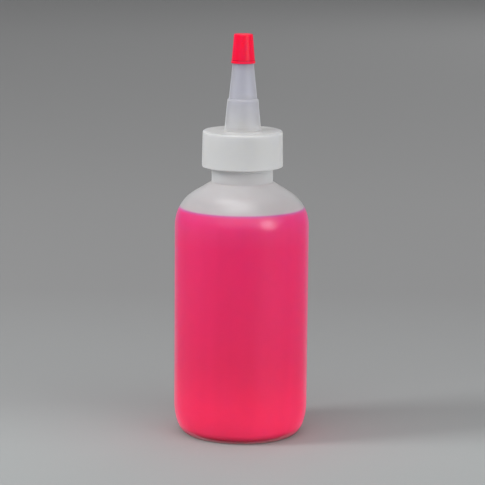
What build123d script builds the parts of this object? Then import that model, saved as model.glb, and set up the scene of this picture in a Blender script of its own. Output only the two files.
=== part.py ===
from build123d import *

import os
from math import cos, radians, sin, tan

# Glue applicator bottle. Millimetres, +Z up, origin on the axis at the standing ring.

# Bottle body
body_radius = 23.8
wall = 0.9
base_wall = 1.2
ring_inner_radius = 17.4
push_up = 1.6
heel_run = 4.6  # how far the heel curve reaches in from the side
heel_rise = 11.0  # and how far it reaches up the side

# Shoulder and neck
shoulder_start = 75.2
shoulder_radius = 13.8
shoulder_sweep = 58.5  # degrees of arc before the straight slope
neck_radius = 10.87
neck_fillet = 0.6
neck_top = 107.75
bore_radius = 8.0
bead_height = 0.9
bead_proud = 0.28
bead_drop = 0.35  # from the closure's rim down to the bead

# Screw thread of a 24 mm finish, eight turns to the inch
pitch = 25.4 / 8
thread_bite = 0.25  # how far a thread is rooted in its wall
thread_corner = 0.2
neck_thread_low = 101.2
neck_thread_turns = 1.25
neck_thread_depth = 1.05
neck_thread_root = 2.1
neck_thread_crest = 0.8
cap_thread_turns = 1.5
cap_thread_depth = 0.95
cap_thread_root = 1.7
cap_thread_crest = 0.6

# Liquid
fill_level = 81.9
fill_gap = 0.05

# Spout closure
cap_low = 96.3
cap_high = 109.05
cap_radius_low = 14.35
cap_radius_high = 14.12
cap_bore_radius = 12.22
panel_low = neck_top + 0.05
cap_edge = 0.8
rim_edge = 0.3
foot_radius = 6.5
foot_fillet = 0.7
ledge_height = 119.95
ledge_radius = 5.45
ledge_step = 0.42
ledge_edge = 0.15
spout_radius_at_tip = 3.7
spout_end = 141.8
spout_edge = 0.35
channel_radius = 5.2
orifice_radius = 1.3
orifice_land = 2.0

# Plug seal ring under the closure's panel
seal_clearance = 0.08
seal_wall = 0.95
seal_depth = 2.6
seal_lead = 0.35

# Sealer tip
tip_low = 132.85
tip_high = 143.05
tip_radius_high = 3.3
tip_radius_low = 4.08
tip_rim_radius = 4.22
tip_rim_height = 0.7
tip_edge = 0.45
tip_gap = 0.06
tip_roof_gap = 0.2

os.makedirs("parts", exist_ok=True)


def corner(sketch, r, z):
    """The vertex of a profile nearest to a radius and a height."""
    return sketch.vertices().sort_by_distance((r, z, 0))[0]


def finish(piece, name):
    piece.part.label = name
    export_step(piece.part, f"parts/{name}.step")


def dome(rise, low):
    """Shallow arc from the axis, rise above low, out to the standing ring."""
    sphere = (ring_inner_radius**2 + rise**2) / (2 * rise)
    half = ring_inner_radius / 2
    middle = low + rise - sphere + (sphere**2 - half**2) ** 0.5
    ThreePointArc((0, low + rise), (half, middle), (ring_inner_radius, low))


def body_outline(inset, low):
    """Base, heel, side and shoulder, moved in by inset. Gives the point where the arc ends."""
    dome(push_up, low)
    heel_centre = body_radius - heel_run
    Line((ring_inner_radius, low), (heel_centre, low))
    EllipticalCenterArc(
        (heel_centre, heel_rise),
        heel_run - inset,
        heel_rise - low,
        start_angle=-90,
        arc_size=90,
    )
    side = body_radius - inset
    Line((side, heel_rise), (side, shoulder_start))
    centre = body_radius - shoulder_radius
    arc = shoulder_radius - inset
    CenterArc((centre, shoulder_start), arc, 0, shoulder_sweep)
    end_angle = radians(shoulder_sweep)
    return centre + arc * cos(end_angle), shoulder_start + arc * sin(end_angle)


def slope_to(start, radius):
    """Where the shoulder's straight slope from the end of its arc meets a radius."""
    return radius, start[1] + (start[0] - radius) / tan(radians(shoulder_sweep))


def thread(radius, outward, low, turns, depth, root, crest):
    """Right-hand thread on a round wall, standing out from it (1) or into its bore (-1)."""
    foot = root / 2 + thread_bite * (root - crest) / 2 / depth
    with BuildPart() as ridge:
        with BuildLine():
            path = Helix(pitch, turns * pitch, radius, center=(0, 0, low))
        start = Plane(origin=path @ 0, x_dir=(outward, 0, 0), z_dir=path % 0)
        with BuildSketch(start) as section:
            with BuildLine():
                Polyline(
                    (-thread_bite, -foot),
                    (depth, -crest / 2),
                    (depth, crest / 2),
                    (-thread_bite, foot),
                    close=True,
                )
            make_face()
            for side in (-1, 1):
                fillet(corner(section, depth, side * crest / 2), thread_corner)
        sweep(is_frenet=True)
    return ridge.part


# Bottle: one hollow moulding with its neck finish
neck_thread = thread(
    neck_radius,
    1,
    neck_thread_low,
    neck_thread_turns,
    neck_thread_depth,
    neck_thread_root,
    neck_thread_crest,
)
with BuildPart() as bottle:
    with BuildSketch(Plane.XZ) as profile:
        with BuildLine():
            outer = body_outline(0, 0)
            neck_foot = slope_to(outer, neck_radius)
            Polyline(outer, neck_foot, (neck_radius, neck_top), (bore_radius, neck_top))
            inner = body_outline(wall, base_wall)
            bore_foot = slope_to(inner, bore_radius)
            Polyline(inner, bore_foot, (bore_radius, neck_top))
            Line((0, push_up), (0, base_wall + push_up))
        make_face()
        fillet(corner(profile, *neck_foot), neck_fillet)
        fillet(corner(profile, *bore_foot), neck_fillet)
    revolve(axis=Axis.Z)
    bead_high = cap_low - bead_drop
    bead_low = bead_high - bead_height
    bead_back = neck_radius - bead_proud
    with BuildSketch(Plane.XZ):
        with BuildLine():
            bead_crest = (neck_radius + bead_proud, (bead_low + bead_high) / 2)
            ThreePointArc((neck_radius, bead_low), bead_crest, (neck_radius, bead_high))
            Polyline(
                (neck_radius, bead_high),
                (bead_back, bead_high),
                (bead_back, bead_low),
                (neck_radius, bead_low),
            )
        make_face()
    revolve(axis=Axis.Z)
    add(neck_thread)
finish(bottle, "bottle")

# Contents: the liquid stands a hair inside the wall, level at the top
with BuildPart() as liquid_fill:
    with BuildSketch(Plane.XZ):
        with BuildLine():
            floor = base_wall + fill_gap
            top = body_outline(wall + fill_gap, floor)
            Polyline(top, (0, top[1]), (0, floor + push_up))
        make_face()
    revolve(axis=Axis.Z)
    split(bisect_by=Plane.XY.offset(fill_level), keep=Keep.BOTTOM)
finish(liquid_fill, "liquid_fill")

# Spout closure: skirt, panel and conical spout in one moulding, open right through
spout_slope = (ledge_radius - ledge_step - spout_radius_at_tip) / (tip_low - ledge_height)


def spout_radius(z):
    """Outside radius of the spout above its ledge."""
    return ledge_radius - ledge_step - spout_slope * (z - ledge_height)


cap_thread = thread(
    cap_bore_radius,
    -1,
    neck_thread_low - pitch / 2,
    cap_thread_turns,
    cap_thread_depth,
    cap_thread_root,
    cap_thread_crest,
)
with BuildPart() as spout_closure:
    with BuildSketch(Plane.XZ) as profile:
        ledge_top = ledge_height + ledge_step
        with BuildLine():
            Polyline(
                (cap_bore_radius, cap_low),
                (cap_radius_low, cap_low),
                (cap_radius_high, cap_high),
                (foot_radius, cap_high),
                (ledge_radius, ledge_height),
                (spout_radius(ledge_top), ledge_top),
                (spout_radius(spout_end), spout_end),
                (orifice_radius, spout_end),
                (orifice_radius, spout_end - orifice_land),
                (channel_radius, panel_low),
                (cap_bore_radius, panel_low),
                close=True,
            )
        make_face()
        fillet(corner(profile, cap_radius_low, cap_low), rim_edge)
        fillet(corner(profile, cap_bore_radius, cap_low), rim_edge)
        fillet(corner(profile, cap_radius_high, cap_high), cap_edge)
        fillet(corner(profile, foot_radius, cap_high), foot_fillet)
        fillet(corner(profile, ledge_radius, ledge_height), ledge_edge)
        fillet(corner(profile, spout_radius(spout_end), spout_end), spout_edge)
    revolve(axis=Axis.Z)
    add(cap_thread)
finish(spout_closure, "spout_closure")

# Plug seal: the ring that fills the mouth of the neck
with BuildPart() as plug_seal:
    with BuildSketch(Plane.XZ) as profile:
        seal_outer = bore_radius - seal_clearance
        seal_inner = seal_outer - seal_wall
        seal_low = panel_low - seal_depth
        with BuildLine():
            Polyline(
                (seal_inner, seal_low),
                (seal_outer, seal_low),
                (seal_outer, panel_low),
                (seal_inner, panel_low),
                close=True,
            )
        make_face()
        chamfer(corner(profile, seal_outer, seal_low), seal_lead)
    revolve(axis=Axis.Z)
finish(plug_seal, "plug_seal")

# Sealer tip: thin cup that follows the spout's end, with a low rim at its mouth
with BuildPart() as sealer_tip:
    with BuildSketch(Plane.XZ) as profile:
        rim_top = tip_low + tip_rim_height
        rim_step = tip_rim_radius - tip_radius_low
        roof = spout_end + tip_roof_gap
        with BuildLine():
            Polyline(
                (spout_radius(tip_low) + tip_gap, tip_low),
                (tip_rim_radius, tip_low),
                (tip_rim_radius, rim_top),
                (tip_radius_low, rim_top + rim_step),
                (tip_radius_high, tip_high),
                (0, tip_high),
                (0, roof),
                (spout_radius(roof) + tip_gap, roof),
                close=True,
            )
        make_face()
        fillet(corner(profile, tip_radius_high, tip_high), tip_edge)
        fillet(corner(profile, tip_rim_radius, rim_top), rim_step / 2)
    revolve(axis=Axis.Z)
finish(sealer_tip, "sealer_tip")
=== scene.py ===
import bpy
import math
from mathutils import Matrix, Vector


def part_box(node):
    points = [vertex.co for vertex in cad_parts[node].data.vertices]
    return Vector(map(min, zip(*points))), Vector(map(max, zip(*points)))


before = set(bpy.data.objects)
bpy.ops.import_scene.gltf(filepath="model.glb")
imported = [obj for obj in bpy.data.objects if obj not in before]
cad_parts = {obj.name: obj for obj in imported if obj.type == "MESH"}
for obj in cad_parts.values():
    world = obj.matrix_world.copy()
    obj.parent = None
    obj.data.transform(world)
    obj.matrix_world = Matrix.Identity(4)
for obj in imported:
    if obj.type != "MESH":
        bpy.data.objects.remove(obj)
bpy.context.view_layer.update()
print("frame loaded:", ", ".join(sorted(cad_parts)))

mm = 0.001
liquidLow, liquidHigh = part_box("liquid_fill")
closureLow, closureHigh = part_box("spout_closure")
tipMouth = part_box("sealer_tip")[0].z
fillHeight = liquidHigh.z


def newMaterial(name):
    material = bpy.data.materials.new(name)
    material.use_nodes = True
    material.node_tree.nodes.clear()
    return material, material.node_tree


def addNode(tree, kind, **values):
    node = tree.nodes.new(kind)
    for key, value in values.items():
        if hasattr(node, key):
            setattr(node, key, value)
        else:
            node.inputs[key.replace("_", " ")].default_value = value
    return node


def join(tree, source, target):
    tree.links.new(source, target)


def mathNode(tree, operation, first, second=None):
    node = tree.nodes.new("ShaderNodeMath")
    node.operation = operation
    for socket, value in zip(node.inputs, (first, second)):
        if isinstance(value, (int, float)):
            socket.default_value = value
        elif value is not None:
            join(tree, value, socket)
    return node.outputs[0]


def rampNode(tree, source, stops):
    node = tree.nodes.new("ShaderNodeValToRGB")
    ramp = node.color_ramp
    while len(ramp.elements) < len(stops):
        ramp.elements.new(0.5)
    for element, (place, colour) in zip(ramp.elements, stops):
        element.position = place
        element.color = (*colour, 1)
    join(tree, source, node.inputs["Fac"])
    return node.outputs["Color"]


def rangeNode(tree, source, low, high, toLow=0.0, toHigh=1.0, smooth=False):
    node = tree.nodes.new("ShaderNodeMapRange")
    node.interpolation_type = "SMOOTHSTEP" if smooth else "LINEAR"
    join(tree, source, node.inputs["Value"])
    node.inputs["From Min"].default_value = low
    node.inputs["From Max"].default_value = high
    node.inputs["To Min"].default_value = toLow
    node.inputs["To Max"].default_value = toHigh
    return node.outputs["Result"]


def mixColour(tree, share, first, second, blend="MIX"):
    node = addNode(tree, "ShaderNodeMix", data_type="RGBA", blend_type=blend)
    for socket, value in zip((node.inputs[0], node.inputs[6], node.inputs[7]), (share, first, second)):
        if isinstance(value, float):
            socket.default_value = value
        else:
            join(tree, value, socket)
    return node.outputs[2]


def objectPlace(tree):
    coords = tree.nodes.new("ShaderNodeTexCoord")
    split = tree.nodes.new("ShaderNodeSeparateXYZ")
    join(tree, coords.outputs["Object"], split.inputs[0])
    return coords.outputs["Object"], split.outputs


def noiseNode(tree, place, scale, stretch=(1, 1, 1), detail=2.0, roughness=0.5):
    mapping = tree.nodes.new("ShaderNodeMapping")
    mapping.inputs["Scale"].default_value = stretch
    join(tree, place, mapping.inputs["Vector"])
    noise = addNode(tree, "ShaderNodeTexNoise", Scale=scale, Detail=detail, Roughness=roughness)
    join(tree, mapping.outputs[0], noise.inputs["Vector"])
    return noise.outputs["Fac"]


def bumpNode(tree, height, distance):
    node = addNode(tree, "ShaderNodeBump", Strength=1.0, Distance=distance)
    join(tree, height, node.inputs["Height"])
    return node.outputs["Normal"]


def cloudNode(tree, place, scale, squash):
    # soft patches, squashed along the height of the piece
    noise = noiseNode(tree, place, scale, stretch=(1, 1, squash))
    return rangeNode(tree, noise, 0.25, 0.75, smooth=True)


def roughNode(tree, patches, low, high, gloss, spread):
    return rangeNode(tree, patches, low, high, gloss - spread, gloss + spread)


def plasticNode(tree, colour, scatter, roughness, normal, specular, glowColour=None, glow=0.0):
    shader = addNode(tree, "ShaderNodeBsdfPrincipled")
    join(tree, colour, shader.inputs["Base Color"])
    shader.inputs["Subsurface Weight"].default_value = 1.0
    shader.inputs["Subsurface Radius"].default_value = scatter
    shader.inputs["Subsurface Scale"].default_value = 1.0
    shader.inputs["Specular IOR Level"].default_value = specular
    join(tree, roughness, shader.inputs["Roughness"])
    join(tree, normal, shader.inputs["Normal"])
    if glowColour:
        join(tree, glowColour, shader.inputs["Emission Color"])
        shader.inputs["Emission Strength"].default_value = glow
    return shader


def seeThrough(tree, shader, share, normal, edgeWidth):
    # a milky wall is seen through face on, and closes up where it turns away;
    # a face seen from behind is left out, so a wall is counted once
    clear = tree.nodes.new("ShaderNodeBsdfTransparent")
    facing = addNode(tree, "ShaderNodeLayerWeight", Blend=0.5)
    join(tree, normal, facing.inputs["Normal"])
    turned = rangeNode(tree, facing.outputs["Facing"], 1.0 - edgeWidth, 1.0, 1.0, 0.0, smooth=True)
    face = tree.nodes.new("ShaderNodeNewGeometry")
    clearShare = mathNode(tree, "MULTIPLY", share, turned)
    gone = mathNode(tree, "MAXIMUM", clearShare, face.outputs["Backfacing"])
    mix = tree.nodes.new("ShaderNodeMixShader")
    join(tree, gone, mix.inputs["Fac"])
    join(tree, shader.outputs[0], mix.inputs[1])
    join(tree, clear.outputs[0], mix.inputs[2])
    return mix


def finishMaterial(tree, shader):
    output = tree.nodes.new("ShaderNodeOutputMaterial")
    join(tree, shader.outputs[0], output.inputs["Surface"])


def giveMaterial(piece, material):
    piece.data.materials.clear()
    piece.data.materials.append(material)


# bottle: thin milky plastic that takes on the liquid's pink where it is wetted
wall = {
    "thin": (0.50, 0.51, 0.515),      # the blown shoulder
    "thickNeckLit": (0.64, 0.645, 0.65),     # the moulded neck: whiter for its thicker wall, and lifted with painted light against the shade under the cap
    "cloud": 0.04,                    # how much the patches darken it
    "cloudScale": 45,
    "wetRingShade": (0.60, 0.014, 0.080),  # the standing ring, darkened with painted shade where it stands on the floor
    "wetLow": (0.95, 0.038, 0.172),
    "wetMiddle": (0.94, 0.036, 0.228),
    "wetHigh": (0.90, 0.085, 0.320),
    "meniscus": (0.62, 0.22, 0.58),   # thin violet line where the liquid climbs the wall
    "streaks": 0.10,                  # faint upright streaks of the blown wall
    "streakScale": 110,
    "streakStretch": 0.06,
    "scatter": (2.6 * mm, 2.7 * mm, 2.9 * mm),
    "dryClear": 0.15,      # share seen straight through above the liquid
    "wetClear": 0.45,      # and below its line
    "wetFade": 0.35 * mm,  # how softly the one turns into the other
    "edgeWidth": 0.55,
    "gloss": 0.31,
    "glossSpread": 0.02,
    "specular": 0.6,
    "glowLow": (0.95, 0.035, 0.13),
    "glow": 0.23,          # stands in for light that the liquid carries down to the heel
    "glowHeight": 31 * mm,
    "peel": 0.02 * mm,     # orange peel of the blown skin
    "peelScale": 420,
    "seamWidth": 0.14 * mm,
    "seamHeight": 0.05 * mm,
    "neckFrom": 3 * mm,    # over these heights above the liquid the wall thickens into the neck
    "neckTo": 11 * mm,
}


def milkyWall():
    material, tree = newMaterial("milkyWall")
    place, (x, y, z) = objectPlace(tree)
    peel = noiseNode(tree, place, wall["peelScale"])
    cloud = cloudNode(tree, place, wall["cloudScale"], 0.5)
    # the two mould halves meet on the plane y = 0
    seam = mathNode(tree, "COMPARE", y, 0.0)
    seam.node.inputs[2].default_value = wall["seamWidth"]
    relief = mathNode(tree, "ADD", mathNode(tree, "MULTIPLY", peel, wall["peel"]),
                      mathNode(tree, "MULTIPLY", seam, wall["seamHeight"]))
    normal = bumpNode(tree, relief, 1.0)
    # the neck is painted lighter, partly for its thicker wall and partly as painted light that lifts the
    # shade under the cap
    neck = rangeNode(tree, z, fillHeight + wall["neckFrom"], fillHeight + wall["neckTo"])
    dryTone = rampNode(tree, neck, ((0.0, wall["thin"]), (1.0, wall["thickNeckLit"])))
    patches = rangeNode(tree, cloud, 0.0, 1.0, 1.0 - wall["cloud"], 1.0)
    dry = mixColour(tree, 1.0, dryTone, patches, "MULTIPLY")
    level = rangeNode(tree, z, liquidLow.z, fillHeight)
    # darkest at the standing ring: painted shade where the bottle stands on the floor
    wetTone = rampNode(tree, level, (
        (0.0, wall["wetRingShade"]), (0.03, wall["wetLow"]), (0.2, wall["wetLow"]),
        (0.85, wall["wetMiddle"]), (0.988, wall["wetHigh"]), (1.0, wall["meniscus"])))
    streak = noiseNode(tree, place, wall["streakScale"], stretch=(1, 1, wall["streakStretch"]))
    streaks = rangeNode(tree, streak, 0.3, 0.7, 1.0 - wall["streaks"], 1.0)
    wet = mixColour(tree, 1.0, wetTone, streaks, "MULTIPLY")
    fade = wall["wetFade"]
    wetShare = rangeNode(tree, z, fillHeight + fade, fillHeight - fade, smooth=True)
    colour = mixColour(tree, wetShare, dry, wet)
    rough = roughNode(tree, cloud, 0.0, 1.0, wall["gloss"], wall["glossSpread"])
    heel = rangeNode(tree, z, 0.0, wall["glowHeight"], smooth=True)
    glow = rampNode(tree, heel, ((0.0, (0, 0, 0)), (0.03, wall["glowLow"]), (1.0, (0, 0, 0))))
    plastic = plasticNode(tree, colour, wall["scatter"], rough, normal, wall["specular"], glow, wall["glow"])
    share = rangeNode(tree, wetShare, 0.0, 1.0, wall["dryClear"], wall["wetClear"])
    finishMaterial(tree, seeThrough(tree, plastic, share, normal, wall["edgeWidth"]))
    return material


giveMaterial(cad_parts["bottle"], milkyWall())
print("bottle wall done")

# liquid: saturated pink that carries light sideways
liquid = {
    "deep": (0.96, 0.014, 0.110),
    "middle": (0.95, 0.016, 0.155),
    "top": (0.92, 0.050, 0.26),
    "reach": (14 * mm, 2.5 * mm, 4 * mm),
    "swirlScale": 40,
    "swirlStretch": 0.3,
    "wander": 0.06,           # how far the swirl shifts the colour up or down
    "ripple": 0.01 * mm,
    "gloss": 0.2,
    "glossSpread": 0.03,
    "specular": 0.25,
}


def pinkLiquid():
    material, tree = newMaterial("pinkLiquid")
    place, (x, y, z) = objectPlace(tree)
    swirl = noiseNode(tree, place, liquid["swirlScale"], stretch=(1, 1, liquid["swirlStretch"]))
    wander = rangeNode(tree, swirl, 0.0, 1.0, -liquid["wander"], liquid["wander"])
    level = mathNode(tree, "ADD", rangeNode(tree, z, liquidLow.z, fillHeight), wander)
    colour = rampNode(tree, level, (
        (0.0, liquid["deep"]), (0.55, liquid["middle"]), (0.9, liquid["middle"]), (1.0, liquid["top"])))
    rough = roughNode(tree, swirl, 0.3, 0.7, liquid["gloss"], liquid["glossSpread"])
    ripple = bumpNode(tree, mathNode(tree, "MULTIPLY", swirl, liquid["ripple"]), 1.0)
    finishMaterial(tree, plasticNode(tree, colour, liquid["reach"], rough, ripple, liquid["specular"]))
    return material


giveMaterial(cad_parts["liquid_fill"], pinkLiquid())
print("liquid done")

# closure, spout and plug seal: thicker milky moulding
moulding = {
    "skirtColour": (0.68, 0.68, 0.68),
    "spoutColour": (0.56, 0.56, 0.63),
    "underTip": (0.46, 0.42, 0.53),   # in the sealer tip's shade
    "scatter": (3.2 * mm, 3.3 * mm, 3.6 * mm),
    "skirtClear": 0.15,
    "spoutClear": 0.48,
    "edgeWidth": 0.45,
    "gloss": 0.33,
    "glossSpread": 0.03,
    "specular": 0.5,
    "peel": 0.012 * mm,
    "peelScale": 700,
    "cloud": 0.03,
    "cloudScale": 70,
    "spoutFoot": 12.75 * mm,  # from the skirt's rim up to the spout's foot
    "toneFade": 14 * mm,      # over which the spout turns cooler
    "clearFade": 1 * mm,      # half the height over which it turns clearer
}


def milkyMoulding():
    material, tree = newMaterial("milkyMoulding")
    place, (x, y, z) = objectPlace(tree)
    peel = noiseNode(tree, place, moulding["peelScale"])
    cloud = cloudNode(tree, place, moulding["cloudScale"], 0.5)
    spoutLow = closureLow.z + moulding["spoutFoot"]
    spoutLength = closureHigh.z - spoutLow
    shaded = (tipMouth - spoutLow) / spoutLength
    tone = rampNode(tree, rangeNode(tree, z, spoutLow, closureHigh.z), (
        (0.0, moulding["skirtColour"]), (moulding["toneFade"] / spoutLength, moulding["spoutColour"]),
        (shaded - 0.08, moulding["spoutColour"]), (shaded, moulding["underTip"]),
        (shaded + 0.04, moulding["spoutColour"])))
    patches = rangeNode(tree, cloud, 0.0, 1.0, 1.0 - moulding["cloud"], 1.0)
    colour = mixColour(tree, 1.0, tone, patches, "MULTIPLY")
    rough = roughNode(tree, cloud, 0.0, 1.0, moulding["gloss"], moulding["glossSpread"])
    normal = bumpNode(tree, mathNode(tree, "MULTIPLY", peel, moulding["peel"]), 1.0)
    plastic = plasticNode(tree, colour, moulding["scatter"], rough, normal, moulding["specular"])
    fade = moulding["clearFade"]
    share = rangeNode(tree, z, spoutLow - fade, spoutLow + fade,
                      moulding["skirtClear"], moulding["spoutClear"])
    finishMaterial(tree, seeThrough(tree, plastic, share, normal, moulding["edgeWidth"]))
    return material


milky = milkyMoulding()
for moulded in ("spout_closure", "plug_seal"):
    giveMaterial(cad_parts[moulded], milky)
print("closure done")

# sealer tip: soft red plastic
redTip = {
    "dark": (0.92, 0.007, 0.050),
    "light": (0.96, 0.009, 0.060),
    "creaseShade": (0.58, 0.30, 0.40),
    "creaseShadeHeight": 1.0 * mm,     # painted shade line above the rim at its mouth
    "creaseShadeWidth": 0.28 * mm,
    "scatter": (1.4 * mm, 0.25 * mm, 0.3 * mm),
    "cloudScale": 260,
    "gloss": 0.34,
    "glossLess": 0.04,
    "glossMore": 0.05,
    "specular": 0.2,
    "glow": 0.11,                 # stands in for light carried through the soft plastic
    "peel": 0.012 * mm,
    "peelScale": 900,
}


def redPlastic():
    material, tree = newMaterial("redPlastic")
    place, (x, y, z) = objectPlace(tree)
    peel = noiseNode(tree, place, redTip["peelScale"])
    cloud = noiseNode(tree, place, redTip["cloudScale"], stretch=(1, 1, 0.3))
    body = rampNode(tree, cloud, ((0.3, redTip["dark"]), (0.7, redTip["light"])))
    # a painted shade line just above the rim at the mouth
    above = mathNode(tree, "SUBTRACT", z, tipMouth + redTip["creaseShadeHeight"])
    offLine = rangeNode(tree, mathNode(tree, "ABSOLUTE", above), 0.0, redTip["creaseShadeWidth"], smooth=True)
    line = rampNode(tree, offLine, ((0.0, redTip["creaseShade"]), (1.0, (1, 1, 1))))
    colour = mixColour(tree, 1.0, body, line, "MULTIPLY")
    rough = rangeNode(tree, cloud, 0.3, 0.7, redTip["gloss"] - redTip["glossLess"],
                      redTip["gloss"] + redTip["glossMore"])
    normal = bumpNode(tree, mathNode(tree, "MULTIPLY", peel, redTip["peel"]), 1.0)
    plastic = plasticNode(tree, colour, redTip["scatter"], rough, normal, redTip["specular"],
                          colour, redTip["glow"])
    finishMaterial(tree, plastic)
    return material


giveMaterial(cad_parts["sealer_tip"], redPlastic())
print("sealer tip done")

# stage: pale floor that sweeps up all round
studio = {
    "floorRadius": 2.6,
    "sweepRadius": 1.2,
    "sweepSteps": 10,
    "grainScale": 900,
    "grain": 0.02,         # how much the grain darkens the paper
    "paperRoughness": 0.75,
    "paperSpecular": 0.25,
    # painted light and shade on the paper: its colour at so many metres behind the bottle, or in front of
    # it, brightest just in front of the bottle like a pool of light, with that stop also tinted against the
    # pink light the bottle throws onto it
    "paperLightFalloff": (
        (-1.10, (0.165, 0.168, 0.168)),
        (-0.35, (0.295, 0.302, 0.302)),
        (-0.03, (0.372, 0.396, 0.394)),
        (0.04, (0.322, 0.332, 0.333)),
        (0.25, (0.280, 0.281, 0.282)),
        (0.52, (0.303, 0.304, 0.305)),
        (1.60, (0.340, 0.342, 0.343)),
    ),
    "airColour": (0.95, 0.95, 0.96, 1),
    "airStrength": 0.47,
}


def paperSweep():
    bpy.ops.object.select_all(action="DESELECT")
    radius, sweepRadius = studio["floorRadius"], studio["sweepRadius"]
    bpy.ops.mesh.primitive_circle_add(vertices=128, radius=radius, fill_type="NGON")
    sweep = bpy.context.object
    sweep.name = "paperSweep"
    bpy.ops.object.mode_set(mode="EDIT")
    bpy.ops.mesh.select_mode(type="EDGE")
    bpy.ops.mesh.select_all(action="SELECT")
    bpy.ops.mesh.region_to_loop()
    lastRadius, lastHeight = radius, 0.0
    for step in range(1, studio["sweepSteps"] + 1):
        angle = math.pi / 2 * step / studio["sweepSteps"]
        nextRadius = radius + sweepRadius * math.sin(angle)
        nextHeight = sweepRadius * (1 - math.cos(angle))
        rise = (0, 0, nextHeight - lastHeight)
        bpy.ops.mesh.extrude_edges_move(TRANSFORM_OT_translate={"value": rise})
        ratio = nextRadius / lastRadius
        bpy.ops.transform.resize(value=(ratio, ratio, 1), center_override=(0, 0, 0))
        lastRadius, lastHeight = nextRadius, nextHeight
    bpy.ops.object.mode_set(mode="OBJECT")
    bpy.ops.object.shade_smooth_by_angle(angle=math.radians(30))
    material, tree = newMaterial("palePaper")
    place, axes = objectPlace(tree)
    grain = noiseNode(tree, place, studio["grainScale"], detail=3.0, roughness=0.6)
    shader = addNode(tree, "ShaderNodeBsdfPrincipled", Roughness=studio["paperRoughness"])
    shader.inputs["Specular IOR Level"].default_value = studio["paperSpecular"]
    near, far = studio["paperLightFalloff"][0][0], studio["paperLightFalloff"][-1][0]
    stops = [((behind - near) / (far - near), tone) for behind, tone in studio["paperLightFalloff"]]
    # painted light falloff across the floor
    shade = rampNode(tree, rangeNode(tree, axes[1], near, far), stops)
    speckle = rangeNode(tree, grain, 0.3, 0.7, 1.0 - studio["grain"], 1.0)
    join(tree, mixColour(tree, 1.0, shade, speckle, "MULTIPLY"), shader.inputs["Base Color"])
    finishMaterial(tree, shader)
    sweep.data.materials.append(material)


paperSweep()

world = bpy.data.worlds.new("studioAir")
world.use_nodes = True
bpy.context.scene.world = world
air = world.node_tree.nodes["Background"]
air.inputs["Color"].default_value = studio["airColour"]
air.inputs["Strength"].default_value = studio["airStrength"]
print("stage done")

# soft boxes: where each stands round the bottle in degrees, how far off and how big in metres, its
# watts, and whether it lights everything, only the matte shade or only the gloss
lampAim = Vector((0, 0, 70 * mm))
lamps = {
    "overheadGloss": {
        "turn": -80, "lift": 84, "reach": 1.6,
        "size": (1.6, 0.9), "watts": 21, "lights": "gloss",
    },
    "frontBox": {
        "turn": -5, "lift": 44, "reach": 1.6,
        "size": (2.6, 1.6), "watts": 13,
    },
    "rightLow": {
        "turn": 55, "lift": 9, "reach": 1.1,
        "size": (0.80, 0.30), "watts": 5.2, "lights": "matte",
    },
    "sideLow": {
        "turn": 115, "lift": 9, "reach": 1.1,
        "size": (0.80, 0.30), "watts": 1.9, "lights": "matte",
    },
    "rightGloss": {
        "turn": 49, "lift": 20, "reach": 1.1,
        "size": (0.42, 0.46), "watts": 5.5, "lights": "gloss",
    },
    "leftBox": {
        "turn": -76, "lift": 30, "reach": 1.1,
        "size": (0.30, 0.45), "watts": 7.4, "lights": "matte",
    },
    "farRight": {
        "turn": 155, "lift": 17, "reach": 2.0,
        "size": (0.6, 0.6), "watts": 3, "lights": "matte",
    },
}


def softBox(name, turn, lift, reach, size, watts, lights="all"):
    turn, lift = math.radians(turn), math.radians(lift)
    away = Vector((math.cos(lift) * math.sin(turn), -math.cos(lift) * math.cos(turn), math.sin(lift)))
    light = bpy.data.lights.new(name, "AREA")
    light.shape = "RECTANGLE"
    light.size, light.size_y = size
    light.energy = watts
    lamp = bpy.data.objects.new(name, light)
    bpy.context.scene.collection.objects.link(lamp)
    lamp.location = lampAim + away * reach
    lamp.rotation_euler = (-away).to_track_quat("-Z", "Y").to_euler()
    lamp.visible_diffuse = lights != "gloss"
    lamp.visible_glossy = lights != "matte"


for lampName, values in lamps.items():
    softBox(lampName, **values)

view = {
    "distance": 0.80,
    "lift": math.radians(10.24),
    "target": Vector((0.29 * mm, 0, 68.8 * mm)),
    "lens": 166.8,
    "roll": 0.0088,
    "sensor": 36,
    "clip": (0.01, 20),
}
camera = bpy.data.objects.new("benchCamera", bpy.data.cameras.new("benchCamera"))
bpy.context.scene.collection.objects.link(camera)
back = Vector((0, -math.cos(view["lift"]), math.sin(view["lift"])))
facing = (-back).to_track_quat("-Z", "Y").to_matrix().to_4x4()
roll = Matrix.Rotation(view["roll"], 4, "Z")
camera.matrix_world = Matrix.Translation(view["target"] + back * view["distance"]) @ facing @ roll
camera.data.lens = view["lens"]
camera.data.sensor_width = view["sensor"]
camera.data.clip_start, camera.data.clip_end = view["clip"]
bpy.context.scene.camera = camera
bpy.context.scene.view_settings.view_transform = "Standard"
print("lights and camera done")
